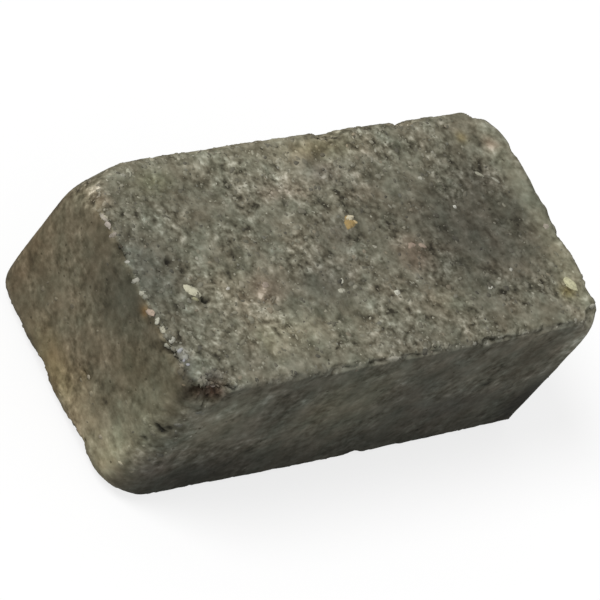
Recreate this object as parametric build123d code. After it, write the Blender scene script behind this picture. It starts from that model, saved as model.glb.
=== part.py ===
from build123d import *
from math import cos, pi, sqrt
import os

# A tumbled concrete paving stone. It was pressed in a steel mould as one piece, then rolled
# in a drum with others like it, which broke its arrises and rounded its corners unevenly.
# Millimetres. X runs along the stone, Y across it, Z up. The origin is the centre of the bed face.

# Mould size
LENGTH = 210.0
WIDTH = 105.0
THICKNESS = 80.0

# How far each worn side face swells out between its ends
END_SWELL = 0.9
FLANK_SWELL = 0.7

# Radius that wear has left on the arrises round the top face and round the bed face
TOP_ARRIS = {"left": 2.5, "front": 3.0, "right": 3.5, "back": 4.5}
BED_ARRIS = {"left": 11.0, "front": 4.0, "right": 3.5, "back": 6.0}

# Radius of the four upright edges at mid height, and of the same edges where they reach
# the top face and the bed face, which is larger because corners take the most knocks
UPRIGHT_EDGE = {"front_left": 13.0, "front_right": 2.5, "back_right": 6.0, "back_left": 8.5}
TOP_CORNER = {"front_left": 13.5, "front_right": 13.0, "back_right": 20.0, "back_left": 31.0}
BED_CORNER = {"front_left": 19.0, "front_right": 2.5, "back_right": 12.0, "back_left": 12.0}
TOP_CORNER_REACH = 22.0
BED_CORNER_REACH = 26.0

# Levels at which an outline is drawn across each worn arris, and across each corner's reach
ARRIS_STEPS = 5
REACH_STEPS = 3

# Small bites broken out of the arrises: their spacing, depth and the radius of their scoop
TOP_BITE_PITCH = 13.0
BED_BITE_PITCH = 27.0
BITE_DEPTH = 0.95
BITE_DEPTH_SPREAD = 0.5
BITE_RADIUS = 8.0
BITE_RADIUS_SPREAD = 9.0
BITE_END_MARGIN = 20.0

# The larger losses, each a scoop: its radius, and how deep it goes below the face
SPALL_RADIUS = 11.0
SPALL_DEPTH = 4.2
CORNER_CHIP_RADIUS = 8.0
CORNER_CHIP_DEPTH = 1.6
NOTCH_RADIUS = 15.0
NOTCH_DEPTH = 2.4
FLAKE_RADIUS = 13.0
FLAKE_DEPTH = 1.9
PIT_RADIUS = 1.7
PIT_DEPTH = 1.5

# Shallow hollows worn in the top face, each the cap of a large ball: where each one lies and its
# depth. Between them the face keeps the level that other stones rest on.
HOLLOW_RADIUS = 110.0
HOLLOWS = (
    (70.0, 5.0, 1.1),
    (-86.0, 10.0, 0.8),
    (24.0, 24.0, 0.8),
    (-58.0, 34.0, 0.7),
    (-34.0, 8.0, 0.9),
    (-62.0, -22.0, 0.8),
    (-18.0, -30.0, 0.9),
    (32.0, -26.0, 0.9),
    (49.0, 34.0, 0.7),
    (84.0, -28.0, 0.8),
    (-12.0, 34.0, 0.6),
    (86.0, 28.0, 0.6),
    (-88.0, -22.0, 0.6),
)

GOLDEN_STEP = 0.618034
CORNERS = ("front_left", "front_right", "back_right", "back_left")


def arris_inset(height, top_radius, bed_radius):
    """How far a side face stands in from the mould's wall at a height, on its two quarter-round arrises."""
    above = height - (THICKNESS - top_radius)
    below = bed_radius - height
    if above > 0:
        return top_radius - sqrt(max(top_radius**2 - above**2, 0.0))
    if below > 0:
        return bed_radius - sqrt(max(bed_radius**2 - below**2, 0.0))
    return 0.0


def corner_radius(height, corner):
    """The plan radius of an upright edge, which grows as the square of the way into each corner's reach."""
    radius = UPRIGHT_EDGE[corner]
    into_top = max(height - (THICKNESS - TOP_CORNER_REACH), 0.0) / TOP_CORNER_REACH
    into_bed = max(BED_CORNER_REACH - height, 0.0) / BED_CORNER_REACH
    radius += (TOP_CORNER[corner] - UPRIGHT_EDGE[corner]) * into_top**2
    radius += (BED_CORNER[corner] - UPRIGHT_EDGE[corner]) * into_bed**2
    return radius


def outline(height):
    """The stone's outline at a height: four bowed sides joined by four corner arcs."""
    inset = {side: arris_inset(height, TOP_ARRIS[side], BED_ARRIS[side]) for side in TOP_ARRIS}
    left = -LENGTH / 2 + END_SWELL + inset["left"]
    right = LENGTH / 2 - END_SWELL - inset["right"]
    front = -WIDTH / 2 + FLANK_SWELL + inset["front"]
    back = WIDTH / 2 - FLANK_SWELL - inset["back"]
    points = ((left, front), (right, front), (right, back), (left, back))
    inward = ((1, 1), (-1, 1), (-1, -1), (1, -1))
    starts, middles, ends = [], [], []
    for number, corner in enumerate(CORNERS):
        radius = corner_radius(height, corner)
        (x, y), (to_x, to_y) = points[number], inward[number]
        centre = Vector(x + to_x * radius, y + to_y * radius, height)
        on_end, on_flank = Vector(-to_x * radius, 0), Vector(0, -to_y * radius)
        diagonal = Vector(-to_x, -to_y) * (radius * sqrt(0.5))
        first, last = (on_end, on_flank) if number % 2 == 0 else (on_flank, on_end)
        starts.append(centre + first)
        middles.append(centre + diagonal)
        ends.append(centre + last)
    swells = (Vector(0, -FLANK_SWELL), Vector(END_SWELL, 0), Vector(0, FLANK_SWELL), Vector(-END_SWELL, 0))
    edges = []
    for number in range(4):
        following = (number + 1) % 4
        edges.append(Edge.make_three_point_arc(starts[number], middles[number], ends[number]))
        crest = (ends[number] + starts[following]) * 0.5 + swells[number]
        edges.append(Edge.make_three_point_arc(ends[number], crest, starts[following]))
    return Wire(edges)


def outline_heights():
    """Heights of the outlines, closest together where the arrises turn over."""
    bed, top = max(BED_ARRIS.values()), max(TOP_ARRIS.values())
    turns = [step / ARRIS_STEPS * pi / 2 for step in range(ARRIS_STEPS + 1)]
    heights = [bed * (1 - cos(turn)) for turn in turns]
    heights += [THICKNESS - top * (1 - cos(turn)) for turn in turns]
    low, high = BED_CORNER_REACH, THICKNESS - TOP_CORNER_REACH
    heights += [bed + (low - bed) * step / REACH_STEPS for step in range(1, REACH_STEPS + 1)]
    heights += [high + (THICKNESS - top - high) * step / REACH_STEPS for step in range(REACH_STEPS)]
    return sorted(set(round(height, 3) for height in heights))


def worn_block():
    """The whole stone before its bites: one loft through all the outlines."""
    return Solid.make_loft([outline(height) for height in outline_heights()], ruled=True)


def scoop(point, outward, radius, depth):
    """A ball that bites to a depth below a point of the surface, along the outward direction. Its seam
    and poles are turned away from the stone, which keeps its facets few."""
    outward = outward.normalized()
    axis = Vector(1, 0, 0) if outward.Z > 0.99 else outward.cross(Vector(0, 0, 1))
    return Plane(point + outward * (radius - depth), x_dir=outward, z_dir=axis) * Sphere(radius)


def arris_point(side, along, top):
    """The point on a worn arris at a distance along it, and the direction that it faces."""
    radius = (TOP_ARRIS if top else BED_ARRIS)[side]
    worn = radius * (1 - sqrt(0.5))
    up = 1 if top else -1
    height = THICKNESS - worn if top else worn
    end, flank = LENGTH / 2 - worn, WIDTH / 2 - worn
    places = {
        "left": (Vector(-end, along, height), Vector(-1, 0, up)),
        "right": (Vector(end, along, height), Vector(1, 0, up)),
        "front": (Vector(along, -flank, height), Vector(0, -1, up)),
        "back": (Vector(along, flank, height), Vector(0, 1, up)),
    }
    return places[side]


def arris_bites(top):
    """Small bites along the four arrises of one face, unevenly spaced by golden-ratio steps."""
    pitch = TOP_BITE_PITCH if top else BED_BITE_PITCH
    bites, number = [], 0
    for side in TOP_ARRIS:
        run = (WIDTH if side in ("left", "right") else LENGTH) - 2 * BITE_END_MARGIN
        count = int(run / pitch)
        for place in range(count):
            number += 1
            chance = number * GOLDEN_STEP % 1
            other = number * GOLDEN_STEP**2 * 3 % 1
            along = -run / 2 + (place + 0.15 + 0.7 * chance) * run / count
            point, outward = arris_point(side, along, top)
            tilt = Vector(0, 0, (other - 0.5) * 1.2)
            radius = BITE_RADIUS + BITE_RADIUS_SPREAD * other
            depth = BITE_DEPTH + BITE_DEPTH_SPREAD * (2 * chance - 1)
            bites.append(scoop(point, outward + tilt, radius, depth))
    return bites


def large_losses():
    """The losses that show singly: broken corners, notches and flakes in the arrises, and the deepest pits."""
    left, right, front, back, top = -LENGTH / 2, LENGTH / 2, -WIDTH / 2, WIDTH / 2, THICKNESS
    spall = scoop(Vector(left + 12, front + 2, top - 4), Vector(-0.4, -1, 0.35), SPALL_RADIUS, SPALL_DEPTH)
    back_right_chip = Vector(right - 10, back - 4, top - 2), Vector(0.4, 1, 0.5)
    front_right_chip = Vector(right - 8, front + 4, top - 2), Vector(0.7, -1, 0.6)
    losses = [spall]
    for point, outward in (back_right_chip, front_right_chip):
        losses.append(scoop(point, outward, CORNER_CHIP_RADIUS, CORNER_CHIP_DEPTH))
    losses.append(scoop(Vector(right - 1, front + 40, top - 1), Vector(1, 0, 0.7), NOTCH_RADIUS, NOTCH_DEPTH))
    losses.append(scoop(Vector(right - 1, front + 15, top - 1), Vector(1, 0, 0.9), FLAKE_RADIUS, FLAKE_DEPTH))
    losses.append(scoop(Vector(left + 1, front + 20, top - 1), Vector(-1, 0, 0.9), FLAKE_RADIUS, FLAKE_DEPTH))
    losses.append(scoop(Vector(left + 1, front + 66, top - 1), Vector(-1, 0, 1.1), FLAKE_RADIUS, FLAKE_DEPTH))
    for along in (front + 30, front + 63):
        losses.append(scoop(Vector(left + 4, along, 4), Vector(-1, 0, -0.9), FLAKE_RADIUS, FLAKE_DEPTH))
    for along in (left + 122, left + 162):
        losses.append(scoop(Vector(along, back - 2, top - 2), Vector(0, 1, 1), FLAKE_RADIUS, FLAKE_DEPTH))
    for x, y in ((left + 27, front + 40), (left + 68, back - 19), (left + 19, back - 47), (left + 110, back - 21)):
        losses.append(scoop(Vector(x, y, top), Vector(0, 0, 1), PIT_RADIUS, PIT_DEPTH))
    losses.append(scoop(Vector(left, front + 44, 28), Vector(-1, 0, 0), PIT_RADIUS, PIT_DEPTH))
    return losses


def hollows():
    """The shallow hollows of the top face."""
    return [scoop(Vector(x, y, THICKNESS), Vector(0, 0, 1), HOLLOW_RADIUS, depth) for x, y, depth in HOLLOWS]


paving_stone = worn_block() - (arris_bites(True) + arris_bites(False) + large_losses() + hollows())

os.makedirs("parts", exist_ok=True)
export_step(paving_stone, "parts/paving_stone.step")
print("paving_stone", paving_stone.bounding_box().size, "volume", round(paving_stone.volume))
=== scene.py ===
import bpy
import numpy as np
from mathutils import Matrix, Vector


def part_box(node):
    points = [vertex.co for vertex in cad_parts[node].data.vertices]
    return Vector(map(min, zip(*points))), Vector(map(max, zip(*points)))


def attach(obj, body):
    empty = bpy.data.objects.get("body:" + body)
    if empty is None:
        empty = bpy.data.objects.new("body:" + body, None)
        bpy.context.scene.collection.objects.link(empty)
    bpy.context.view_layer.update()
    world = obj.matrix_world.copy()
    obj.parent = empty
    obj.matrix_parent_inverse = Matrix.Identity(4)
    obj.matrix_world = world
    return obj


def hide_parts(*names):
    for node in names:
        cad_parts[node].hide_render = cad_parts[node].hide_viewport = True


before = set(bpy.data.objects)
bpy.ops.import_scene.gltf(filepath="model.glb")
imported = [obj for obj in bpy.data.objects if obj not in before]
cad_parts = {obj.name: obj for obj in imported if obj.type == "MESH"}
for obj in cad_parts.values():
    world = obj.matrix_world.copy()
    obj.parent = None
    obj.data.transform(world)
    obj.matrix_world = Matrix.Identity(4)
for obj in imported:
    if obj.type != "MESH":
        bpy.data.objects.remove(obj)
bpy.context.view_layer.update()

# Stone body
# One block of pressed concrete, its arrises and corners worn by tumbling. Its surface is worked
# out from the mould's size, the wear at each arris and corner, and the pieces broken out of them.
MM = 0.001
stone_low, stone_high = (np.array(corner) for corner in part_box("paving_stone"))
LENGTH, WIDTH, THICKNESS = stone_high - stone_low

# How far each worn side face swells out between its ends
END_SWELL = 0.9 * MM
FLANK_SWELL = 0.7 * MM

# Radius of the wear on each arris, and of each upright edge at mid height, top face and bed face
SIDES = ("front", "right", "back", "left")
CORNERS = ("front_left", "front_right", "back_right", "back_left")
TOP_ARRIS = {"left": 2.5 * MM, "front": 3.0 * MM, "right": 3.5 * MM, "back": 4.5 * MM}
BED_ARRIS = {"left": 11.0 * MM, "front": 4.0 * MM, "right": 3.5 * MM, "back": 6.0 * MM}
UPRIGHT_EDGE = dict(zip(CORNERS, (13.0 * MM, 2.5 * MM, 6.0 * MM, 8.5 * MM)))
TOP_CORNER = dict(zip(CORNERS, (13.5 * MM, 13.0 * MM, 20.0 * MM, 31.0 * MM)))
BED_CORNER = dict(zip(CORNERS, (19.0 * MM, 2.5 * MM, 12.0 * MM, 12.0 * MM)))
TOP_CORNER_REACH = 22.0 * MM
BED_CORNER_REACH = 26.0 * MM

# Squares of the surface grid along each side, up each flank, and round the two arrises
ALONG = 200
ACROSS = 100
UP_FLANK = 62
ROUND_BED = 18
ROUND_TOP = 12


def arris_inset(height, side):
    """How far a side face stands in at a height: the radius, less the root of radius squared less
    depth squared."""
    top, bed = TOP_ARRIS[side], BED_ARRIS[side]
    above = np.clip(height - (THICKNESS - top), 0, top)
    below = np.clip(bed - height, 0, bed)
    return top - np.sqrt(top**2 - above**2) + bed - np.sqrt(bed**2 - below**2)


def corner_radius(height, corner):
    """Plan radius of an upright edge at a height: it grows as the square of the way into each
    corner's reach."""
    into_top = np.clip(height - (THICKNESS - TOP_CORNER_REACH), 0, None) / TOP_CORNER_REACH
    into_bed = np.clip(BED_CORNER_REACH - height, 0, None) / BED_CORNER_REACH
    middle = UPRIGHT_EDGE[corner]
    return middle + (TOP_CORNER[corner] - middle) * into_top**2 + (BED_CORNER[corner] - middle) * into_bed**2


def side_of_rings(number, height, way):
    """Points of one side at each height (rows) and each share of its length (columns), from the middle
    of one corner's arc to the middle of the next: half an arc, a bowed straight, and half an arc."""
    inset = {side: arris_inset(height, side) for side in SIDES}
    left, right = -LENGTH / 2 + END_SWELL + inset["left"], LENGTH / 2 - END_SWELL - inset["right"]
    front, back = -WIDTH / 2 + FLANK_SWELL + inset["front"], WIDTH / 2 - FLANK_SWELL - inset["back"]
    corner_x, corner_y = (left, right, right, left)[number], (front, front, back, back)[number]
    length = (right - left, back - front)[number % 2]
    swell = (FLANK_SWELL, END_SWELL)[number % 2]
    first = corner_radius(height, CORNERS[number])
    last = corner_radius(height, CORNERS[(number + 1) % 4])
    straight = length - first - last
    walked = way * (first * np.pi / 4 + straight + last * np.pi / 4)
    before = np.clip((first * np.pi / 4 - walked) / first, 0, np.pi / 4)
    middle = np.clip(walked - first * np.pi / 4, 0, straight)
    after = np.clip((walked - first * np.pi / 4 - straight) / last, 0, np.pi / 4)
    bow = swell * 4 * (middle / straight) * (1 - middle / straight)
    forward = first * (1 - np.sin(before)) + middle + last * np.sin(after)
    outward = bow - first * (1 - np.cos(before)) - last * (1 - np.cos(after))
    east, north = (1, 0, -1, 0)[number], (0, 1, 0, -1)[number]
    x = corner_x + east * forward + north * outward
    y = corner_y + north * forward - east * outward
    return np.stack([x, y, np.broadcast_to(height, x.shape)], -1)


def ring_heights():
    """Heights of the rings: even steps of angle round both arrises and even steps up the flank."""
    bed, top = max(BED_ARRIS.values()), max(TOP_ARRIS.values())
    low = bed * (1 - np.cos(np.linspace(0, np.pi / 2, ROUND_BED + 1)))
    flank = np.linspace(bed, THICKNESS - top, UP_FLANK + 1)
    high = THICKNESS - top * (1 - np.cos(np.linspace(np.pi / 2, 0, ROUND_TOP + 1)))
    return np.concatenate([low[:-1], flank, high[1:]])[:, None]


def face_between(front, right, back, left):
    """Coons patch: the two blends of facing edges added, less the blend of the four corners."""
    u = np.linspace(0, 1, ALONG + 1)[None, :, None]
    v = np.linspace(0, 1, ACROSS + 1)[:, None, None]
    lengthwise = (1 - v) * front[None] + v * back[None]
    crosswise = (1 - u) * left[:, None] + u * right[:, None]
    corners = (1 - v) * ((1 - u) * front[0] + u * front[-1]) + v * ((1 - u) * back[0] + u * back[-1])
    return lengthwise + crosswise - corners


def block_surface():
    """The worn block before its losses: points (n, 3) and quads (m, 4), all facing outwards."""
    heights = ring_heights()
    counts = (ALONG, ACROSS, ALONG, ACROSS)
    rings = np.concatenate(
        [side_of_rings(n, heights, np.arange(counts[n])[None] / counts[n]) for n in range(4)], 1
    )
    rows, columns = rings.shape[:2]
    number = np.arange(rows * columns).reshape(rows, columns)
    following = np.roll(number, -1, 1)
    quads = [np.stack([number[:-1], following[:-1], following[1:], number[1:]], -1).reshape(-1, 4)]
    points = [rings.reshape(-1, 3)]
    count = rows * columns
    for row, upward in ((0, False), (rows - 1, True)):
        ring = np.append(number[row], number[row, 0])
        cuts = np.cumsum((0,) + counts)
        edges = [ring[cuts[n] : cuts[n + 1] + 1] for n in range(4)]
        edges[2], edges[3] = edges[2][::-1], edges[3][::-1]
        patch = face_between(*[points[0][edge] for edge in edges])
        inner = patch[1:-1, 1:-1].reshape(-1, 3)
        index = np.empty((ACROSS + 1, ALONG + 1), int)
        index[0], index[:, -1], index[-1], index[:, 0] = edges
        index[1:-1, 1:-1] = count + np.arange(len(inner)).reshape(ACROSS - 1, ALONG - 1)
        count += len(inner)
        points.append(inner)
        face = np.stack([index[:-1, :-1], index[:-1, 1:], index[1:, 1:], index[1:, :-1]], -1).reshape(-1, 4)
        quads.append(face if upward else face[:, ::-1])
    return np.concatenate(points), np.concatenate(quads)


def outward_normals(points, quads):
    """Each point's normal: the sum of the cross products of its quads' diagonals, made one long."""
    across = np.cross(points[quads[:, 2]] - points[quads[:, 0]], points[quads[:, 3]] - points[quads[:, 1]])
    total = np.zeros_like(points)
    for corner in range(4):
        for axis in range(3):
            total[:, axis] += np.bincount(quads[:, corner], across[:, axis], len(points))
    return total / np.linalg.norm(total, axis=1, keepdims=True)


def chance(cells, seed):
    """A number from 0 to 1 for each whole-numbered cell (n, 3), by mixing the bits of its three indices."""
    mixed = cells.astype(np.int64) * np.array([73856093, 19349663, 83492791])
    code = (mixed[..., 0] ^ mixed[..., 1] ^ mixed[..., 2] ^ (seed * 2654435761)) & 0xFFFFFFFF
    for shift in (15, 13, 16):
        code = ((code ^ (code >> shift)) * 2246822519) & 0xFFFFFFFF
    return code / 0xFFFFFFFF


def noise(points, size, seed):
    """Value noise from -1 to 1: the random numbers at the eight corners of each cell, smoothly blended."""
    place = points / size + 1000.0
    cell = np.floor(place)
    part = place - cell
    part = part**3 * (part * (6 * part - 15) + 10)
    total = np.zeros(len(points))
    for corner in np.ndindex(2, 2, 2):
        share = np.prod(np.where(corner, part, 1 - part), axis=1)
        total += share * chance(cell + corner, seed)
    return total * 2 - 1


def clouds(points, size, seed, octaves=4, fall=0.5):
    """Noise added up over octaves: each is half the size of the one before, and fall times as strong."""
    total, strength, whole = np.zeros(len(points)), 1.0, 0.0
    for octave in range(octaves):
        total += strength * noise(points, size / 2**octave, seed + octave)
        whole += strength
        strength *= fall
    return total / whole


def nearest_grain(points, size, seed):
    """Worley noise: the distance from each point to the nearest of one random centre a cell, in cells."""
    place = points / size + 1000.0
    cell = np.floor(place)
    nearest = np.full(len(points), 9.0)
    for step in np.ndindex(3, 3, 3):
        near = cell + step - 1
        centre = near + np.stack([chance(near, seed + axis) for axis in range(3)], -1)
        nearest = np.minimum(nearest, np.linalg.norm(place - centre, axis=1))
    return nearest


def smooth_step(low, high, value):
    """0 below low, 1 above high, and a cubic ease between."""
    t = np.clip((value - low) / (high - low), 0, 1)
    return t * t * (3 - 2 * t)


# Pieces broken out of the arrises, unevenly spaced by golden-ratio steps
TOP_BITE_PITCH = 13.0 * MM
BED_BITE_PITCH = 27.0 * MM
BITE_DEPTH = 0.95 * MM
BITE_DEPTH_SPREAD = 0.5 * MM
BITE_RADIUS = 8.0 * MM
BITE_RADIUS_SPREAD = 9.0 * MM
BITE_END_MARGIN = 20.0 * MM
GOLDEN_STEP = 0.618034


def arris_point(side, along, top):
    """The point on a worn arris at a distance along it, and the direction that it faces."""
    worn = (TOP_ARRIS if top else BED_ARRIS)[side] * (1 - np.sqrt(0.5))
    up = 1 if top else -1
    height = THICKNESS - worn if top else worn
    end, flank = LENGTH / 2 - worn, WIDTH / 2 - worn
    return {
        "left": (np.array([-end, along, height]), np.array([-1, 0, up])),
        "right": (np.array([end, along, height]), np.array([1, 0, up])),
        "front": (np.array([along, -flank, height]), np.array([0, -1, up])),
        "back": (np.array([along, flank, height]), np.array([0, 1, up])),
    }[side]


def arris_bites(top):
    """Point, outward direction, radius and depth of each bite along the four arrises of one face."""
    pitch = TOP_BITE_PITCH if top else BED_BITE_PITCH
    bites, number = [], 0
    for side in TOP_ARRIS:
        run = (WIDTH if side in ("left", "right") else LENGTH) - 2 * BITE_END_MARGIN
        count = int(run / pitch)
        for place in range(count):
            number += 1
            first, other = number * GOLDEN_STEP % 1, number * GOLDEN_STEP**2 * 3 % 1
            along = -run / 2 + (place + 0.15 + 0.7 * first) * run / count
            point, outward = arris_point(side, along, top)
            tilted = outward + np.array([0, 0, (other - 0.5) * 1.2])
            depth = BITE_DEPTH + BITE_DEPTH_SPREAD * (2 * first - 1)
            bites.append((point, tilted, BITE_RADIUS + BITE_RADIUS_SPREAD * other, depth))
    return bites


# The losses that show singly: broken corners, notches and flakes in the arrises, and the deepest pits.
# Each row is a point from the left front top corner, the way it faces, a radius and a depth.
SPALL, CORNER_CHIP, NOTCH = (11.0, 4.2), (8.0, 1.6), (15.0, 2.4)
FLAKE, PIT = (13.0, 1.9), (1.7, 1.5)
LOSSES = (
    ((12, 2, -4), (-0.4, -1, 0.35), SPALL),
    ((200, 101, -2), (0.4, 1, 0.5), CORNER_CHIP),
    ((202, 4, -2), (0.7, -1, 0.6), CORNER_CHIP),
    ((209, 40, -1), (1, 0, 0.7), NOTCH),
    ((209, 15, -1), (1, 0, 0.9), FLAKE),
    ((1, 20, -1), (-1, 0, 0.9), FLAKE),
    ((1, 66, -1), (-1, 0, 1.1), FLAKE),
    ((4, 30, -76), (-1, 0, -0.9), FLAKE),
    ((4, 63, -76), (-1, 0, -0.9), FLAKE),
    ((122, 103, -2), (0, 1, 1), FLAKE),
    ((162, 103, -2), (0, 1, 1), FLAKE),
    ((27, 40, 0), (0, 0, 1), PIT),
    ((68, 86, 0), (0, 0, 1), PIT),
    ((19, 58, 0), (0, 0, 1), PIT),
    ((110, 84, 0), (0, 0, 1), PIT),
    ((0, 44, -52), (-1, 0, 0), PIT),
)


def large_losses():
    """Point, outward direction, radius and depth of the larger losses."""
    corner = np.array([-LENGTH / 2, -WIDTH / 2, THICKNESS])
    return [(corner + np.array(place) * MM, np.array(outward), radius * MM, depth * MM)
            for place, outward, (radius, depth) in LOSSES]


# Shallow hollows worn in the top face, each the cap of a large ball: its middle and its depth
HOLLOW_RADIUS = 110.0 * MM
HOLLOWS = (
    (70, 5, 1.1), (-86, 10, 0.8), (24, 24, 0.8), (-58, 34, 0.7), (-34, 8, 0.9), (-62, -22, 0.8),
    (-18, -30, 0.9), (32, -26, 0.9), (49, 34, 0.7), (84, -28, 0.8), (-12, 34, 0.6), (86, 28, 0.6),
    (-88, -22, 0.6),
)


def hollows():
    """Point, outward direction, radius and depth of the shallow hollows of the top face."""
    return [(np.array([x * MM, y * MM, THICKNESS]), np.array([0, 0, 1]), HOLLOW_RADIUS, depth * MM)
            for x, y, depth in HOLLOWS]


def break_out(points, normals, losses, roughness, seed):
    """Pushes points in along their normals to the far wall of each ball that holds them, whose radius
    wavers with noise. Returns the new points and how deep each one went."""
    ragged = clouds(points, 4 * MM, seed, 3, 0.6)
    moved = points.copy()
    for point, outward, radius, depth in losses:
        centre = point + outward / np.linalg.norm(outward) * (radius - depth)
        wall = radius + roughness * depth * ragged
        away = moved - centre
        slope = np.einsum("ij,ij->i", away, normals)
        inside = slope**2 - np.einsum("ij,ij->i", away, away) + wall**2
        push = slope + np.sqrt(np.clip(inside, 0, None))
        hit = (inside > 0) & (push > 0) & (push < 3 * depth + radius * 0.3)
        moved -= normals * np.where(hit, push, 0)[:, None]
    return moved, np.linalg.norm(moved - points, axis=1)


# How raggedly the walls of the losses and of the hollows waver, as shares of their depth
LOSS_WAVER = 0.8
HOLLOW_WAVER = 0.3

# Depth of the relief that weather and wear have left in the surface, which only goes inwards. The
# top face has lost its whole skin too, so only sand and gravel can reach the mould's level there.
# Round the bed face the arrises keep only a share of the raggedness.
GRAIN_SIZE = 2.7 * MM
GRAIN_RELIEF = 0.36 * MM
WEAR_SIZE = 10.0 * MM
WEAR_RELIEF = 0.7 * MM
RAGGED_SIZE = 6.0 * MM
RAGGED_RELIEF = {"left": 1.2 * MM, "front": 1.0 * MM, "right": 0.5 * MM, "back": 0.7 * MM}
BED_RAGGED = 0.3
TOP_SKIN_LOST = 0.25 * MM

# Places that wear has rubbed smooth: middle and reach in millimetres, and the roughness left there
SMOOTH_PLACES = {
    "right arris": ((101, 8, 80), (11, 48, 20), 0.15),
    "back right corner": ((92, 42, 80), (16, 16, 20), 0.15),
    "front right": ((84, -47, 80), (30, 9, 16), 0.35),
    "dark right": ((70, 0, 80), (24, 24, 12), 0.75),
    "front arris, left": ((-40, -49, 80), (45, 6, 12), 0.55),
    "middle back": ((-2, 36, 80), (9, 8, 12), 0.45),
    "left middle": ((-26, -14, 80), (9, 7, 12), 0.5),
    "front middle": ((34, -34, 80), (20, 9, 12), 0.6),
}

# Places on the sides that are rough: middle and reach in millimetres, and the roughness added there
ROUGH_PLACES = {
    "near corner": ((-101, -46, 50), (12, 13, 32), 0.3),
    "end face": ((-105, 4, 44), (8, 36, 30), 0.12),
    "near corner, on the front": ((-84, -52, 50), (14, 8, 26), 0.2),
}

# Small holes and cracks: middle and reach in millimetres, and depth in millimetres
DENTS = {
    "hole by the white pebble": ((-78.3, -13.2, 80), (2.0, 1.3, 3), 1.6),
    "hole behind it": ((-85.4, 5.7, 80), (1.5, 1.9, 3), 0.8),
    "crescent, middle": ((-100.0, -48.2, 48.0), (2.2, 2.2, 1.3), 1.4),
    "crescent, left end": ((-101.5, -46.4, 49.0), (1.3, 1.4, 1.1), 1.1),
    "crescent, right end": ((-98.6, -49.3, 50.9), (1.4, 1.4, 1.5), 1.1),
    "pit below it": ((-102, -45.8, 39.3), (1.5, 1.5, 1.3), 0.9),
    "crack in the spall, left": ((-100.2, -45.2, 79), (3.0, 0.9, 1.3), 1.0),
    "crack in the spall, right": ((-95.8, -46.0, 77.3), (2.4, 0.8, 1.0), 0.8),
    "crack by the arris, back": ((-104.4, -27.8, 76.3), (2.0, 2.6, 1.1), 0.9),
    "crack by the arris, front": ((-103.2, -32.2, 77.4), (2.0, 2.8, 1.1), 0.9),
}

block, quads = block_surface()
facing = outward_normals(block, quads)
dished, _ = break_out(block, facing, hollows(), HOLLOW_WAVER, 17)
losses = arris_bites(True) + arris_bites(False) + large_losses()
broken, depth_broken = break_out(dished, facing, losses, LOSS_WAVER, 11)

on_top = smooth_step(0.75, 0.97, facing[:, 2])
on_bed = smooth_step(0.75, 0.97, -facing[:, 2])
on_arris = smooth_step(0.12, 0.45, np.abs(facing[:, 2])) * (1 - on_top) * (1 - on_bed)
on_arris *= np.where(facing[:, 2] < 0, BED_RAGGED, 1)
fresh = smooth_step(0.15 * MM, 0.8 * MM, depth_broken)


def distance_from(points, middle, reach):
    """Distance from a middle, counted in reaches along each axis."""
    return np.linalg.norm((points - np.array(middle) * MM) / (np.array(reach) * MM), axis=1)


def in_dents(points):
    """Sum of the dents' depths in millimetres at each point: each one's depth times a flat-topped bell of
    the distance from its middle, which wavers with noise."""
    waver = 1 + 0.4 * clouds(points, 3 * MM, 91, 2, 0.6)
    total = np.zeros(len(points))
    for middle, reach, depth in DENTS.values():
        total += depth * np.exp(-((distance_from(points, middle, reach) * waver) ** 4))
    return total


rough = 0.15 + on_top + 0.9 * on_arris + fresh
for middle, reach, added in ROUGH_PLACES.values():
    rough += added * np.exp(-(distance_from(broken, middle, reach) ** 4)) * (1 - on_top)
rough = np.clip(rough, 0, 1)
for middle, reach, left_over in SMOOTH_PLACES.values():
    rough *= 1 - (1 - left_over) * np.exp(-(distance_from(block, middle, reach) ** 4))
ragged = np.zeros(len(block))
for side, (x, y) in {"left": (-1, 0), "front": (0, -1), "right": (1, 0), "back": (0, 1)}.items():
    ragged += RAGGED_RELIEF[side] * smooth_step(0, 1, facing[:, 0] * x + facing[:, 1] * y)
domes = smooth_step(0.8, 0.2, nearest_grain(block, GRAIN_SIZE, 21))
relief = GRAIN_RELIEF * rough * (1 - domes)
relief += WEAR_RELIEF * (0.25 + 0.75 * rough) * smooth_step(-0.1, 0.7, clouds(block, WEAR_SIZE, 31, 3, 0.6))
relief += ragged * on_arris * smooth_step(0.05, 0.6, clouds(block, RAGGED_SIZE, 51, 3, 0.6))
relief += TOP_SKIN_LOST * on_top
relief *= 1 - 0.85 * on_bed
relief += in_dents(broken) * MM
surface = broken - facing * relief[:, None]
surface = np.clip(surface, stone_low, stone_high)


def mesh_object(name, points, faces):
    """A mesh object from point and face arrays, at the world's origin, shaded smooth."""
    mesh = bpy.data.meshes.new(name)
    mesh.from_pydata(points, [], faces)
    mesh.polygons.foreach_set("use_smooth", np.ones(len(faces), bool))
    mesh.update()
    made = bpy.data.objects.new(name, mesh)
    bpy.context.scene.collection.objects.link(made)
    return made


def point_number(made, name, values):
    """Stores one number a point on the mesh, for its material to read."""
    layer = made.data.attributes.new(name, "FLOAT", "POINT")
    layer.data.foreach_set("value", np.asarray(values, np.float32))


def point_colour(made, name, values):
    """Stores one colour a point on the mesh, for its material to read."""
    layer = made.data.attributes.new(name, "FLOAT_COLOR", "POINT")
    whole = np.concatenate([values, np.ones((len(values), 1))], 1)
    layer.data.foreach_set("color", whole.astype(np.float32).ravel())


# What the light that each side face sends back is multiplied by, laid on by the way it faces
FACE_TINT = {
    (-1, 0): (0.98, 0.895, 0.80),
    (0, -1): (1.05, 1.07, 1.13),
    (1, 0): (0.98, 0.96, 0.94),
    (0, 1): (1.00, 0.97, 0.93),
}

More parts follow.
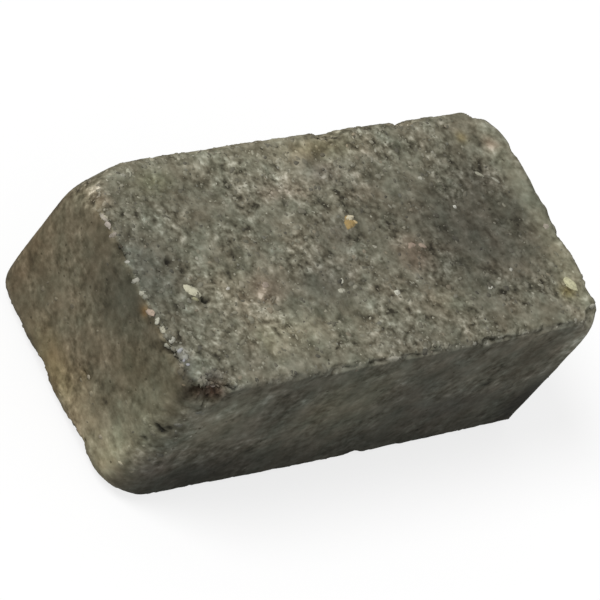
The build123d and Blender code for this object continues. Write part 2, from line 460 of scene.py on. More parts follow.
# Stains, worn places and painted shade at the foot: middle and reach in millimetres, and what the light is
# multiplied by there
STAINS_AND_PAINTED_SHADE = {
    "pale back": ((-13, 30, 80), (19, 10, 12), (1.44, 1.44, 1.48)),
    "pale back arris": ((-16, 47, 79), (60, 9, 12), (1.30, 1.29, 1.28)),
    "pale back right": ((52, 30, 80), (9, 8, 12), (1.20, 1.20, 1.20)),
    "pale left of the middle": ((-62, -10, 80), (15, 12, 12), (1.24, 1.21, 1.18)),
    "pale front": ((-50, -33, 80), (27, 8, 12), (1.40, 1.38, 1.33)),
    "pale streak": ((-60, -36, 80), (3, 8, 12), (1.20, 1.18, 1.14)),
    "pale front right": ((31, -31, 80), (10, 6, 12), (1.14, 1.11, 1.06)),
    "dark right": ((60, -4, 80), (37, 28, 14), (0.48, 0.47, 0.48)),
    "dark right spot": ((79, 19, 80), (10, 9, 12), (0.60, 0.59, 0.59)),
    "dark right line": ((88, 2, 80), (4, 12, 12), (0.72, 0.72, 0.72)),
    "dark left": ((-92, 4, 80), (12, 14, 12), (0.82, 0.84, 0.87)),
    "dark back left": ((-67, 33, 80), (12, 10, 12), (0.78, 0.78, 0.76)),
    "dark middle": ((18, 18, 80), (10, 8, 12), (0.80, 0.79, 0.77)),
    "dark in front of the middle": ((-21, -14, 80), (16, 10, 12), (0.70, 0.70, 0.72)),
    "dim left of the middle": ((-52, 8, 80), (9, 13, 12), (0.86, 0.87, 0.86)),
    "dim behind the middle": ((4, 33, 80), (7, 5, 12), (0.84, 0.82, 0.86)),
    "dim middle": ((-2, 6, 80), (8, 7, 12), (0.88, 0.86, 0.88)),
    "dim front left": ((-79, -39, 80), (20, 12, 12), (0.86, 0.87, 0.89)),
    "dim front": ((2, -46, 80), (16, 7, 10), (0.88, 0.88, 0.90)),
    "rosy left": ((-49, -13, 80), (8, 7, 10), (1.13, 1.00, 1.02)),
    "rosy right": ((27, -9, 80), (8, 8, 10), (1.12, 0.97, 0.95)),
    "rosy back": ((-22, 27, 80), (9, 4, 10), (1.06, 0.96, 0.96)),
    "ochre back": ((8, 44, 80), (16, 5, 8), (1.08, 1.00, 0.86)),
    "green back left": ((-74, 40, 80), (9, 5, 8), (1.06, 1.12, 1.00)),
    "green right corner": ((96, 24, 80), (8, 26, 14), (1.34, 1.41, 1.42)),
    "ochre spot": ((80.4, 38.7, 80), (2.5, 2.5, 8), (1.25, 1.10, 0.80)),
    "red spot": ((93.4, 33.7, 80), (4, 3, 8), (1.20, 1.00, 0.98)),
    "pale right arris": ((99, -25, 80), (8, 24, 12), (1.34, 1.35, 1.28)),
    "ochre by the pale pebble": ((91.5, -37, 79), (4, 3.5, 6), (0.95, 0.82, 0.52)),
    "rust in the spall": ((-90.5, -48.4, 74), (7, 3.4, 3), (0.55, 0.35, 0.30)),
    "dark rust in the spall": ((-97.5, -46.8, 74.4), (4, 2.6, 3.2), (0.38, 0.29, 0.24)),
    "violet above the rust": ((-92, -45.5, 79.8), (4.5, 2.6, 2.2), (0.80, 0.77, 0.85)),
    "dark below the rust": ((-91, -49.8, 71.2), (5, 2.4, 1.3), (0.55, 0.53, 0.48)),
    "dark band, high": ((-102.6, -41.5, 78.6), (1.8, 4.5, 3), (0.46, 0.46, 0.49)),
    "dark band, low": ((-101.4, -46.6, 72), (2.3, 2.3, 7), (0.36, 0.35, 0.34)),
    "pale arris, far left": ((-99.6, 42, 77), (3.2, 3.4, 3), (1.55, 1.58, 1.68)),
    "grey bump, far left": ((-99.4, 35, 79.4), (3.2, 5, 3), (1.14, 1.06, 1.04)),
    "dark gap in the arris": ((-103.2, 14.8, 78), (2.2, 3.0, 2.2), (0.42, 0.42, 0.40)),
    "orange by the arris": ((-104.9, -12.2, 76.2), (2, 2.6, 2.4), (1.40, 0.98, 0.62)),
    "bluish corner": ((-100.3, -34.5, 80), (3, 5, 4), (1.12, 1.15, 1.30)),
    "dark end top": ((-105, 0, 71), (13, 19, 19), (0.58, 0.62, 0.65)),
    "dim end front": ((-105, -22, 60), (12, 11, 17), (0.74, 0.77, 0.78)),
    "brown end middle": ((-105, -22, 57), (8, 9, 11), (1.00, 0.92, 0.84)),
    "dark end spot": ((-105, -9, 29), (3, 3, 3), (0.62, 0.58, 0.50)),
    "pale end back": ((-104, 44, 74), (10, 10, 9), (1.26, 1.26, 1.30)),
    "brown end back": ((-105, 46, 32), (12, 11, 24), (0.90, 0.81, 0.74)),
    "ochre end foot": ((-105, 4, 14), (12, 16, 10), (1.18, 1.08, 0.88)),
    "pale end foot": ((-103, -18, 12), (10, 15, 12), (1.95, 1.93, 1.93)),
    "pale end corner": ((-104, -42, 26), (10, 14, 18), (1.34, 1.42, 1.46)),
    "green near corner": ((-103, -40, 50), (10, 12, 20), (1.05, 1.16, 1.18)),
    "pale corner foot": ((-99, -43, 12), (12, 10, 16), (1.85, 1.82, 1.78)),
    "pink low corner": ((-92, -51.5, 24), (10, 6, 7), (1.06, 0.97, 1.00)),
    "pale front face, left": ((-79, -52, 55), (17, 12, 19), (1.55, 1.55, 1.52)),
    "dark front face, left": ((-50, -52, 54), (11, 12, 18), (0.80, 0.81, 0.82)),
    "olive front face": ((-22, -52, 50), (12, 12, 18), (1.08, 1.08, 1.00)),
    "pale smear": ((-2, -52, 50), (10, 12, 24), (1.10, 1.11, 1.06)),
    "dark front face, middle": ((25, -52, 47), (18, 10, 18), (0.68, 0.69, 0.70)),
    "brown front face, right": ((80, -52, 54), (14, 10, 16), (0.72, 0.68, 0.65)),
    "pale below the arris": ((68, -52, 74), (11, 10, 8), (1.30, 1.29, 1.29)),
    "pale front face, right end": ((100, -51, 65), (11, 10, 15), (1.86, 1.86, 1.90)),
    # The last three are painted shade at the foot of the front face, where it meets the floor.
    "painted shade at the foot, left": ((-66, -52, 14), (26, 10, 11), (0.76, 0.76, 0.79)),
    "painted shade at the foot, right": ((52, -52, 29), (26, 10, 11), (0.68, 0.68, 0.71)),
    "painted shade at the foot, right end": ((100, -52, 25), (10, 10, 15), (0.30, 0.30, 0.31)),
}

# Added light where the left arris is rubbed pale, and painted shade in chips, holes and at the foot
RUBBED_TINT = (0.75, 0.85, 1.0)
RUBBED_END, RUBBED_FULL = 41 * MM, 35 * MM
LEFT_CHIP_SHADE, FRONT_CHIP_SHADE = 0.55, 0.5
DENT_SHADE, DARKEST_DENT = 0.62, 0.88
FOOT_SHADE = 0.62
FOOT_HEIGHT = 46 * MM


def stains_and_painted_shade(points, normals):
    """Colour that multiplies the concrete's own at each point: each stain eases out from its middle
    as a bell curve whose reach wavers with noise; painted shade darkens the dents and the arris chips,
    and painted shade darkens the flanks towards the bed."""
    tint = np.ones((len(points), 3))
    for (x, y), colour in FACE_TINT.items():
        share = smooth_step(0.2, 0.9, normals[:, 0] * x + normals[:, 1] * y)[:, None]
        tint *= 1 + share * (np.array(colour) - 1)
    waver = 1 + 0.35 * clouds(points, 14 * MM, 61, 4, 0.6)
    for middle, reach, colour in STAINS_AND_PAINTED_SHADE.values():
        away = distance_from(points, middle, reach) * waver
        tint *= 1 + np.exp(-(away**2))[:, None] * (np.array(colour) - 1)
    # Painted shade in the dents' holes and cracks.
    tint *= 1 - np.clip(DENT_SHADE * in_dents(points), 0, DARKEST_DENT)[:, None]
    edge = smooth_step(0.25, 0.6, -normals[:, 0]) * smooth_step(0.25, 0.6, normals[:, 2])
    edge *= smooth_step(RUBBED_END, RUBBED_FULL, np.abs(points[:, 1]))
    rubbed = smooth_step(-0.25, 0.35, clouds(points, 7 * MM, 71, 3, 0.6)) * edge
    # Painted shade in the chips below the left and front top arrises.
    chip_shade_mask = smooth_step(0.05, 0.4, clouds(points, 5 * MM, 81, 3, 0.6))
    front_edge = smooth_step(0.25, 0.6, -normals[:, 1]) * smooth_step(0.1, 0.5, normals[:, 2])
    tint *= (1 + rubbed[:, None] * np.array(RUBBED_TINT)) * (1 - LEFT_CHIP_SHADE * chip_shade_mask * edge)[:, None]
    tint *= (1 - FRONT_CHIP_SHADE * chip_shade_mask * front_edge)[:, None]
    # Painted shade: the front flank, and less the back flank, darken towards the bed.
    flank = smooth_step(0.2, 0.9, -normals[:, 1]) + 0.4 * smooth_step(0.2, 0.9, np.abs(normals[:, 1]))
    painted_foot_shade = smooth_step(FOOT_HEIGHT, 0, points[:, 2] * waver) * np.clip(flank, 0, 1)
    return tint * (1 - FOOT_SHADE * painted_foot_shade)[:, None]


stone = mesh_object("worn_stone", surface, quads)
point_number(stone, "rough", rough)
point_number(stone, "hollow", relief / MM)
point_colour(stone, "stain_and_shade", stains_and_painted_shade(broken, facing))


# Concrete finish
# The stone's own surface: grey-brown cement paste, mottled by weather, with sand in it and small air holes
# whose shade is painted dark. Its tone follows the stains and painted shade that the mesh carries, and
# is painted darker as shade where the mesh's relief is deep.

def add(tree, kind, inputs=None, **settings):
    """One shader node with its settings, and each input set to a value or joined to an output."""
    made = tree.nodes.new(kind)
    for name, value in settings.items():
        setattr(made, name, value)
    for name, value in (inputs or {}).items():
        if isinstance(value, bpy.types.NodeSocket):
            tree.links.new(value, made.inputs[name])
        else:
            made.inputs[name].default_value = value
    return made


def blended(tree, factor, first, second, blend="MIX"):
    """The output of a colour mix of two colours or outputs."""
    mix = tree.nodes.new("ShaderNodeMix")
    mix.data_type = "RGBA"
    mix.blend_type = blend
    for slot, value in ((0, factor), (6, first), (7, second)):
        if isinstance(value, bpy.types.NodeSocket):
            tree.links.new(value, mix.inputs[slot])
        else:
            mix.inputs[slot].default_value = value if slot == 0 else (*value, 1.0)
    return mix.outputs[2]


def graded(tree, value, low, high, to_low=0.0, to_high=1.0):
    """A number mapped smoothly from one range to another."""
    made = add(tree, "ShaderNodeMapRange", {0: value, 1: low, 2: high, 3: to_low, 4: to_high},
               interpolation_type="SMOOTHSTEP")
    return made.outputs[0]


def number(tree, operation, first, second=0.0, third=0.0):
    """The output of a sum, product or other operation on numbers."""
    return add(tree, "ShaderNodeMath", {0: first, 1: second, 2: third}, operation=operation).outputs[0]


def cloud_texture(tree, place, size, detail=4.0, fall=0.55, output="Fac"):
    """An output of a noise texture whose largest lumps are about a size across, in metres."""
    return add(tree, "ShaderNodeTexNoise", {"Vector": place, "Scale": 1 / size, "Detail": detail,
                                            "Roughness": fall}).outputs[output]


def grain_tone(tree, place, size):
    """A random tone from 0 to 1 for each grain of a Voronoi texture of grains of a size."""
    grains = add(tree, "ShaderNodeTexVoronoi", {"Vector": place, "Scale": 1 / size})
    return add(tree, "ShaderNodeSeparateColor", {0: grains.outputs["Color"]}).outputs[0]


def tone_ramp(tree, value, stops):
    """A colour ramp through the given places and colours."""
    ramp = add(tree, "ShaderNodeValToRGB", {0: value})
    while len(ramp.color_ramp.elements) < len(stops):
        ramp.color_ramp.elements.new(1.0)
    for element, (place, colour) in zip(ramp.color_ramp.elements, stops):
        element.position = place
        element.color = (*colour, 1.0)
    return ramp.outputs[0]


# Tones of the paste from its darkest to its palest place, then the size and strength of each pattern
PASTE_TONES = (
    (0.00, (0.036, 0.032, 0.021)),
    (0.30, (0.110, 0.101, 0.069)),
    (0.50, (0.172, 0.161, 0.116)),
    (0.70, (0.246, 0.233, 0.175)),
    (1.00, (0.440, 0.424, 0.340)),
)
SPECKLE_SIZE, SPECKLE = 2.4 * MM, 1.25
MOTTLE_SIZE, MOTTLE = 5.0 * MM, 1.7
BLOTCH_SIZE, BLOTCH = 13.0 * MM, 0.62
GRAIN_CELL, GRAIN_TONE = 2.6 * MM, 0.10
# The last number here is how dark the air holes are painted, as painted shade inside them.
PORE_CELL, PORE_REACH, PORE_PAINTED_SHADE = 6.0 * MM, 0.13, 0.32
HUES = ((0.30, (0.94, 1.01, 1.02)), (0.50, (1.0, 1.005, 1.0)), (0.70, (1.04, 0.99, 0.97)))
HUE_SIZE = 12 * MM


def concrete():
    """Weathered concrete: mottled cement paste with sand grains of many tones, painted darker in its hollows
    and air holes as shade.
    """
    made = bpy.data.materials.new("weathered_concrete")
    made.use_nodes = True
    tree = made.node_tree
    tree.nodes.clear()
    place = add(tree, "ShaderNodeTexCoord").outputs["Object"]
    rough_here = add(tree, "ShaderNodeAttribute", attribute_name="rough").outputs["Fac"]
    hollow = add(tree, "ShaderNodeAttribute", attribute_name="hollow").outputs["Fac"]
    stain_and_shade = add(tree, "ShaderNodeAttribute", attribute_name="stain_and_shade").outputs["Color"]

    warp = cloud_texture(tree, place, 2.5 * MM, 2.0, 0.6, "Color")
    offset = add(tree, "ShaderNodeVectorMath", {0: warp, 1: (0.5, 0.5, 0.5)}, operation="SUBTRACT").outputs[0]
    offset = add(tree, "ShaderNodeVectorMath", {0: offset, "Scale": 2.6 * MM}, operation="SCALE").outputs[0]
    warped = add(tree, "ShaderNodeVectorMath", {0: place, 1: offset}, operation="ADD").outputs[0]

    laid_bare = graded(tree, rough_here, 0.1, 1.0, 0.58, 1.0)
    waver = graded(tree, cloud_texture(tree, place, 18 * MM, 1.0), 0.35, 0.65, 0.55, 1.15)
    laid_bare = number(tree, "MULTIPLY", laid_bare, waver)
    speckle = number(tree, "SUBTRACT", cloud_texture(tree, place, SPECKLE_SIZE, 2.0, 0.5), 0.5)
    mottle = number(tree, "SUBTRACT", cloud_texture(tree, place, MOTTLE_SIZE, 3.0, 0.55), 0.5)
    blotch = number(tree, "SUBTRACT", cloud_texture(tree, place, BLOTCH_SIZE, 2.0, 0.5), 0.5)
    grain = number(tree, "SUBTRACT", grain_tone(tree, warped, GRAIN_CELL), 0.5)
    tone = number(tree, "MULTIPLY", speckle, SPECKLE)
    tone = number(tree, "MULTIPLY_ADD", mottle, MOTTLE, tone)
    tone = number(tree, "MULTIPLY_ADD", grain, GRAIN_TONE, tone)
    tone = number(tree, "MULTIPLY_ADD", tone, laid_bare, 0.49)
    tone = number(tree, "MULTIPLY_ADD", blotch, BLOTCH, tone)
    # Painted shade: the paste is painted darker where the relief is deeper.
    tone = number(tree, "SUBTRACT", tone, graded(tree, hollow, 0.4, 1.7, -0.02, 0.16))
    # Air holes: dents in the bump, and painted shade in their colour.
    pores = add(tree, "ShaderNodeTexVoronoi", {"Vector": warped, "Scale": 1 / PORE_CELL}).outputs
    kept = graded(tree, add(tree, "ShaderNodeSeparateColor", {0: pores["Color"]}).outputs[0], 0.50, 0.52)
    pore = graded(tree, pores["Distance"], 0.4 * PORE_REACH, PORE_REACH, 1.0, 0.0)
    pore = number(tree, "MULTIPLY", kept, pore)
    tone = number(tree, "SUBTRACT", tone, number(tree, "MULTIPLY", pore, PORE_PAINTED_SHADE))
    colour = tone_ramp(tree, tone, PASTE_TONES)
    hue = tone_ramp(tree, cloud_texture(tree, place, HUE_SIZE, 3.0, 0.6), HUES)
    colour = blended(tree, 1.0, colour, hue, "MULTIPLY")
    colour = blended(tree, 1.0, colour, stain_and_shade, "MULTIPLY")

    fine = cloud_texture(tree, place, 1.2 * MM, 2.0, 0.6)
    height = number(tree, "MULTIPLY_ADD", speckle, 2.0, fine)
    height = number(tree, "MULTIPLY_ADD", pore, -2.5, height)
    bump = add(tree, "ShaderNodeBump", {"Height": height, "Distance": 0.2 * MM, "Strength": 0.35})
    shader = add(tree, "ShaderNodeBsdfPrincipled", {"Base Color": colour, "Roughness": 0.92,
                                                    "Specular IOR Level": 0.25,
                                                    "Normal": bump.outputs["Normal"]})
    add(tree, "ShaderNodeOutputMaterial", {"Surface": shader.outputs[0]})
    return made


stone.data.materials.append(concrete())
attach(stone, "root")
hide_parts("paving_stone")

# Sand and gravel
# Grains of the concrete's own sand and gravel that wear has laid bare. Each is sunk in the paste
# with at most its cap showing, so they are caps of few faces, all joined in one mesh.
GRAIN_COUNT = 4200
GRAIN_RADIUS = 0.72 * MM
GRAIN_SPREAD = 0.48
GRAIN_RAGGED = 0.22
GRAIN_SIDES = 7
GRAIN_RINGS = ((35, 0.0), (75, 0.5), (115, 0.0))
rng = np.random.default_rng(7)


def grain_caps(places, normals, radii, shape, turns, sides, rings, ragged):
    """Caps of grains: an apex and rings of points at set angles from it, each pushed in or out at random
    by a share of the radius, stretched by the grain's shape (length, width and height as shares of its
    radius), turned about the surface's normal. Returns points and triangles."""
    count = len(places)
    polar = np.radians([angle for angle, _ in rings])[None, :, None]
    offset = np.array([shift for _, shift in rings])[None, :, None]
    around = (np.arange(sides) + offset) * 2 * np.pi / sides
    reach = 1 + ragged * rng.uniform(-1, 1, (count, len(rings), sides))
    length, width, height = shape.T[:, :, None, None]
    x = np.sin(polar) * np.cos(around) * reach * length
    y = np.sin(polar) * np.sin(around) * reach * width
    z = np.cos(polar) * reach * height
    cosine, sine = np.cos(turns)[:, None, None], np.sin(turns)[:, None, None]
    turned = np.stack([x * cosine - y * sine, x * sine + y * cosine, z], -1)
    apex = np.stack([np.zeros(count), np.zeros(count), shape[:, 2]], -1)[:, None]
    local = np.concatenate([apex, turned.reshape(count, -1, 3)], 1)
    helper = np.where(np.abs(normals[:, :1]) < 0.8, [[1.0, 0, 0]], [[0, 1.0, 0]])
    side = helper - normals * np.sum(helper * normals, axis=1, keepdims=True)
    side /= np.linalg.norm(side, axis=1, keepdims=True)
    other = np.cross(normals, side)
    axes = np.stack([side, other, normals], 1)
    points = places[:, None] + np.einsum("nij,njk->nik", local * radii[:, None, None], axes)
    ring = 1 + np.arange(sides)
    after = 1 + (np.arange(sides) + 1) % sides
    faces = [np.stack([np.zeros(sides, int), ring, after], -1)]
    for level in range(len(rings) - 1):
        near, far = level * sides, (level + 1) * sides
        faces.append(np.stack([ring + near, ring + far, after + near], -1))
        faces.append(np.stack([after + near, ring + far, after + far], -1))
    faces = np.concatenate(faces)
    size = local.shape[1]
    all_faces = (faces[None] + np.arange(count)[:, None, None] * size).reshape(-1, 3)
    return points.reshape(-1, 3), all_faces


def gravel_finish():
    """Sand and gravel: each grain has its own tone, under dust and under the stain and painted shade that its
    mesh carries.
    """
    made = bpy.data.materials.new("sand_and_gravel")
    made.use_nodes = True
    tree = made.node_tree
    tree.nodes.clear()
    place = add(tree, "ShaderNodeTexCoord").outputs["Object"]
    own = add(tree, "ShaderNodeAttribute", attribute_name="grain_colour").outputs["Color"]
    stain_and_shade = add(tree, "ShaderNodeAttribute", attribute_name="stain_and_shade").outputs["Color"]
    mottle = cloud_texture(tree, place, 1.6 * MM, 4.0, 0.65)
    colour = blended(tree, 1.0, own, stain_and_shade, "MULTIPLY")
    colour = blended(tree, graded(tree, mottle, 0.42, 0.72, 0.0, 0.6), colour, (0.16, 0.15, 0.108))
    fine = cloud_texture(tree, place, 0.6 * MM, 3.0, 0.7)
    bump = add(tree, "ShaderNodeBump", {"Height": fine, "Distance": 0.1 * MM, "Strength": 0.7})
    shader = add(tree, "ShaderNodeBsdfPrincipled", {"Base Color": colour, "Roughness": 0.8,
                                                    "Specular IOR Level": 0.3,
                                                    "Normal": bump.outputs["Normal"]})
    add(tree, "ShaderNodeOutputMaterial", {"Surface": shader.outputs[0]})
    return made


SAND_TONES = np.array([
    (0.190, 0.180, 0.132), (0.235, 0.224, 0.170), (0.30, 0.287, 0.22), (0.150, 0.141, 0.105),
    (0.100, 0.094, 0.072), (0.23, 0.20, 0.145), (0.37, 0.357, 0.285), (0.19, 0.186, 0.150),
])
SAND_SHARES = np.array([0.27, 0.22, 0.09, 0.21, 0.12, 0.04, 0.02, 0.03])
GRAIN_FINISH = gravel_finish()

weight = np.clip(rough - 0.12, 0, 1) ** 1.5
normals = outward_normals(surface, quads)
picked = rng.choice(len(surface), GRAIN_COUNT, replace=False, p=weight / weight.sum())
radii = GRAIN_RADIUS * np.exp(GRAIN_SPREAD * rng.standard_normal(GRAIN_COUNT)).clip(0.5, 2.4)
stretch = rng.uniform(0.75, 1.3, GRAIN_COUNT)
shape = np.stack([stretch, 1 / stretch, rng.uniform(0.45, 0.8, GRAIN_COUNT)], -1)
sunk = radii * shape[:, 2] * rng.uniform(0.55, 1.0, GRAIN_COUNT)
jitter = rng.uniform(-0.5, 0.5, (GRAIN_COUNT, 3)) * MM
jitter -= normals[picked] * np.einsum("ij,ij->i", jitter, normals[picked])[:, None]
places = surface[picked] + jitter - normals[picked] * sunk[:, None]
turns = rng.uniform(0, 2 * np.pi, GRAIN_COUNT)
sand_points, sand_faces = grain_caps(
    places, normals[picked], radii, shape, turns, GRAIN_SIDES, GRAIN_RINGS, GRAIN_RAGGED)
sand = mesh_object("exposed_sand", np.clip(sand_points, stone_low, stone_high), sand_faces)
tone = SAND_TONES[rng.choice(len(SAND_TONES), GRAIN_COUNT, p=SAND_SHARES)]
tone = tone * rng.uniform(0.8, 1.2, (GRAIN_COUNT, 1))
per_grain = len(sand_points) // GRAIN_COUNT
point_colour(sand, "grain_colour", np.repeat(tone, per_grain, 0))
point_colour(sand, "stain_and_shade", np.repeat(stains_and_painted_shade(broken[picked], facing[picked]), per_grain, 0))
sand.data.materials.append(GRAIN_FINISH)
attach(sand, "root")

# Pebbles
# The largest pieces of gravel, which show singly in the top face and in the arrises. They were cast
# in with the rest. Only dust lies on them, so the stain and painted shade that their mesh carries is plain
# white.
PEBBLE_SIDES = 12
PEBBLE_RINGS = ((18, 0.0), (38, 0.5), (60, 0.0), (90, 0.5), (120, 0.0))
PEBBLE_RAGGED = 0.2

# A pebble's height and the depth it is sunk to, as shares of its mean radius
PEBBLE_HEIGHT = 0.30
PEBBLE_SUNK = 0.13

# Middle, half length and half width in millimetres, turn in degrees, and colour
PEBBLES = {
    "white, beside the hole": ((-82.8, -8.0, 80), (4.9, 2.4), -44, (0.56, 0.54, 0.40)),
    "pale, below it": ((-82.4, -12.4, 80), (1.5, 0.9), -30, (0.34, 0.33, 0.20)),
    "ochre": ((4.8, 8.4, 80), (3.6, 2.7), 75, (0.36, 0.25, 0.10)),
    "cream, on the ochre": ((5.5, 11.2, 80), (2.5, 1.5), 15, (0.62, 0.56, 0.40)),
    "tan, on the ochre": ((7.6, 8.4, 80), (1.7, 1.1), -40, (0.50, 0.38, 0.20)),
    "pale at the right": ((94.7, -34.4, 80), (3.9, 2.1), -62, (0.58, 0.56, 0.36)),
    "pink at the right": ((97.8, -7.2, 80), (2.0, 1.3), 15, (0.40, 0.35, 0.29)),
    "dot by the dark patch": ((59.2, 8.6, 80), (1.1, 0.9), 0, (0.66, 0.65, 0.58)),
    "dot in front": ((55.0, -29.3, 80), (1.7, 0.9), 10, (0.58, 0.57, 0.50)),
    "dot right of it": ((69.4, -23.6, 80), (1.2, 0.8), 40, (0.42, 0.41, 0.35)),
    "pair, first": ((-13.4, -15.4, 80), (1.8, 1.3), 30, (0.50, 0.49, 0.40)),
    "pair, second": ((-15.2, -19.0, 80), (1.8, 1.2), -20, (0.46, 0.45, 0.36)),
    "white in front of the middle": ((9.8, -24.6, 80), (1.8, 1.5), 50, (0.56, 0.55, 0.46)),
    "left of the rosy place": ((-66.0, -10.2, 80), (1.2, 1.0), 0, (0.50, 0.48, 0.42)),
    "rosy, first": ((28.0, -5.2, 80), (2.3, 1.6), 20, (0.34, 0.26, 0.20)),
    "rosy, second": ((33.2, -6.4, 80), (1.9, 1.4), -30, (0.34, 0.27, 0.21)),
    "rosy, third": ((-48.0, -11.0, 80), (2.5, 1.8), 30, (0.32, 0.26, 0.21)),
    "streak, first": ((79.6, 21.2, 80), (2.6, 0.9), -45, (0.32, 0.31, 0.24)),
    "streak, second": ((86.1, 16.9, 80), (2.2, 0.8), -60, (0.32, 0.31, 0.25)),
    "back dot": ((50.1, 23.4, 80), (1.2, 1.0), 0, (0.42, 0.41, 0.34)),
    "arc at the back": ((32.0, 36.0, 80), (2.4, 0.8), 60, (0.30, 0.29, 0.23)),
    "left arris, first": ((-103.1, 29.5, 78.3), (2.4, 1.0), 90, (0.40, 0.36, 0.30)),
    "left arris, second": ((-103.4, 25.1, 78.8), (2.2, 1.1), 90, (0.42, 0.37, 0.32)),
    "left arris, third": ((-103.8, 20.4, 78.8), (1.9, 0.9), 90, (0.34, 0.30, 0.25)),
    "left arris, fourth": ((-103.5, 9.0, 78.4), (1.4, 1.1), 90, (0.44, 0.43, 0.38)),
    "left arris, fifth": ((-104.0, -0.8, 78.8), (1.9, 1.1), 80, (0.38, 0.37, 0.31)),
    "left arris, sixth": ((-104.3, -6.2, 78.9), (1.5, 1.0), 100, (0.42, 0.41, 0.33)),
    "left arris, pink": ((-104.3, -13.7, 78.4), (2.6, 1.3), 90, (0.46, 0.36, 0.28)),
    "left arris, eighth": ((-103.9, -19.1, 79.4), (1.5, 0.9), 60, (0.48, 0.47, 0.38)),
    "left arris, ninth": ((-103.4, -22.5, 79.2), (1.9, 1.2), 80, (0.46, 0.44, 0.34)),
    "left arris, tenth": ((-100.8, -27.3, 80), (1.7, 1.2), 30, (0.44, 0.43, 0.36)),
    "far left": ((-83.5, 45.1, 80), (2.3, 1.2), 70, (0.44, 0.43, 0.33)),
    "far left, second": ((-86.5, 44.4, 80), (1.4, 1.0), 10, (0.38, 0.37, 0.30)),
    "bluish, first": ((-100.8, -31.9, 80), (1.3, 0.8), 20, (0.38, 0.385, 0.39)),
    "bluish, second": ((-99.5, -34.8, 80), (1.0, 0.7), -40, (0.40, 0.40, 0.42)),
    "bluish, third": ((-101.4, -36.2, 79.8), (1.2, 0.7), 70, (0.36, 0.36, 0.38)),
    "bluish, fourth": ((-100.2, -38.4, 80), (0.9, 0.6), 0, (0.38, 0.38, 0.40)),
    "spall, first": ((-98.7, -46.2, 76.4), (1.0, 0.7), 0, (0.40, 0.36, 0.30)),
    "spall, second": ((-91.1, -46.9, 75.3), (1.2, 0.8), 20, (0.42, 0.36, 0.31)),
    "front arris, right": ((99.6, -47.6, 79.4), (1.6, 1.1), 0, (0.40, 0.39, 0.32)),
    "front left edge": ((-96.9, -50.4, 55.2), (1.9, 1.2), 10, (0.21, 0.205, 0.17)),
    "end face": ((-104.8, -11.6, 29.7), (1.3, 1.0), 0, (0.36, 0.32, 0.24)),
    "end face, low": ((-104.8, -32.5, 19.0), (1.5, 1.1), 30, (0.34, 0.30, 0.22)),
}
middles, halves, angles, colours = (np.array(values, float) for values in zip(*PEBBLES.values()))
nearest = [np.argmin(np.linalg.norm(surface - middle * MM, axis=1)) for middle in middles]
radii = np.sqrt(halves.prod(axis=1)) * MM
shape = np.concatenate([halves * MM / radii[:, None], np.full((len(radii), 1), PEBBLE_HEIGHT)], 1)
places = surface[nearest] - normals[nearest] * (radii * PEBBLE_SUNK)[:, None]
turns = np.radians(angles)
pebble_points, pebble_faces = grain_caps(
    places, normals[nearest], radii, shape, turns, PEBBLE_SIDES, PEBBLE_RINGS, PEBBLE_RAGGED)
pebbles = mesh_object("exposed_pebbles", np.clip(pebble_points, stone_low, stone_high), pebble_faces)
per_pebble = len(pebble_points) // len(PEBBLES)
point_colour(pebbles, "grain_colour", np.repeat(colours, per_pebble, 0))
point_colour(pebbles, "stain_and_shade", np.ones((len(pebble_points), 3)))
pebbles.data.materials.append(GRAIN_FINISH)
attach(pebbles, "root")

# Studio
# A plain white floor and soft light from above and to the left, as on a product photo's table.
# The floor glows white to the camera and keeps a share of the stone's shadow.
KEY_FROM = Vector((-0.55, 0.25, 0.85))
KEY_STRENGTH = 2.1
KEY_SOFTNESS = np.radians(25)
WORLD_STRENGTH = 0.42
FLOOR_SIZE = 20.0
FLOOR_GLOW, GLOW_SHARE = 1.07, 0.72

bpy.ops.mesh.primitive_plane_add(size=FLOOR_SIZE, location=(0, 0, 0))
floor = bpy.context.object
floor.name = "floor"


def floor_finish():
    """White to the camera with the stone's shadow left in, and a mid grey to the light that bounces."""
    made = bpy.data.materials.new("white_floor")
    made.use_nodes = True
    tree = made.node_tree
    tree.nodes.clear()
    path = add(tree, "ShaderNodeLightPath").outputs
    seen = number(tree, "MAXIMUM", path["Is Camera Ray"], path["Is Glossy Ray"])
    seen = number(tree, "MAXIMUM", seen, path["Is Transmission Ray"])
    diffuse = add(tree, "ShaderNodeBsdfDiffuse", {"Color": (0.9, 0.9, 0.9, 1)})
    glow = add(tree, "ShaderNodeEmission", {"Color": (1, 1, 1, 1), "Strength": FLOOR_GLOW})
    to_camera = add(tree, "ShaderNodeMixShader", {0: GLOW_SHARE, 1: diffuse.outputs[0], 2: glow.outputs[0]})
    bounced = add(tree, "ShaderNodeBsdfDiffuse", {"Color": (0.3, 0.3, 0.3, 1)})
    both = add(tree, "ShaderNodeMixShader", {0: seen, 1: bounced.outputs[0], 2: to_camera.outputs[0]})
    add(tree, "ShaderNodeOutputMaterial", {"Surface": both.outputs[0]})
    return made


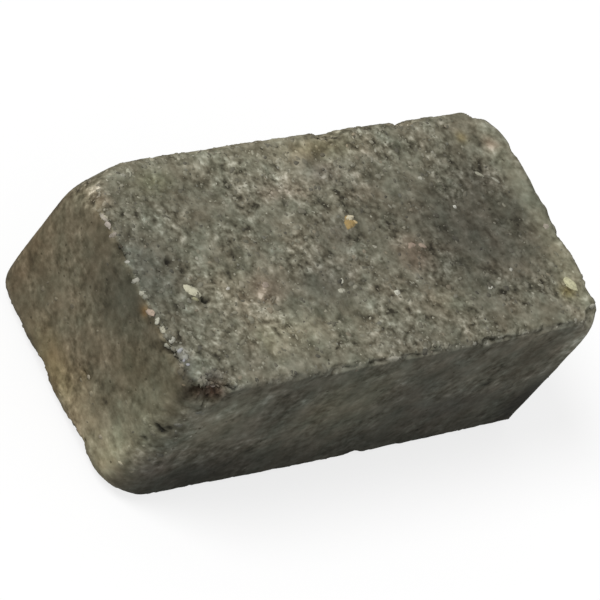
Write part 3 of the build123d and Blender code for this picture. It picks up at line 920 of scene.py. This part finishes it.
floor.data.materials.append(floor_finish())

key = bpy.data.objects.new("key_light", bpy.data.lights.new("key_light", "SUN"))
key.data.energy = KEY_STRENGTH
key.data.angle = KEY_SOFTNESS
key.rotation_mode = "QUATERNION"
key.rotation_quaternion = KEY_FROM.to_track_quat("Z", "Y")
bpy.context.scene.collection.objects.link(key)

world = bpy.data.worlds.new("studio")
world.use_nodes = True
world.node_tree.nodes["Background"].inputs["Color"].default_value = (1, 1, 1, 1)
world.node_tree.nodes["Background"].inputs["Strength"].default_value = WORLD_STRENGTH
bpy.context.scene.world = world

# Camera
# It looks down on the stone's front left, and is rolled, as in the photo. Its place was fitted to
# the stone's outline and top edges there.
CAMERA_AZIMUTH = np.radians(60.5075)
CAMERA_ELEVATION = np.radians(44.0519)
CAMERA_ROLL = np.radians(40.8882)
CAMERA_DISTANCE = 1747.6 * MM
CAMERA_AIM = Vector((0, 0, 40 * MM))
SENSOR = 36.0
LENS = 268.557
AIM_OFFSET = (-0.687 * MM, -0.364 * MM)

look = Vector((np.sin(CAMERA_AZIMUTH) * np.cos(CAMERA_ELEVATION),
               np.cos(CAMERA_AZIMUTH) * np.cos(CAMERA_ELEVATION), -np.sin(CAMERA_ELEVATION)))
level_right = look.cross(Vector((0, 0, 1))).normalized()
level_up = level_right.cross(look)
right = level_right * np.cos(CAMERA_ROLL) + level_up * np.sin(CAMERA_ROLL)
up = level_up * np.cos(CAMERA_ROLL) - level_right * np.sin(CAMERA_ROLL)
aim = CAMERA_AIM + right * AIM_OFFSET[0] + up * AIM_OFFSET[1]
camera = bpy.data.objects.new("camera", bpy.data.cameras.new("camera"))
camera.data.sensor_width = SENSOR
camera.data.lens = LENS
camera.data.clip_start = 0.05
camera.data.clip_end = 50.0
turn = Matrix((right, up, -look)).transposed().to_4x4()
camera.matrix_world = Matrix.Translation(aim - look * CAMERA_DISTANCE) @ turn
bpy.context.scene.collection.objects.link(camera)
bpy.context.scene.camera = camera

bpy.context.scene.view_settings.view_transform = "Standard"
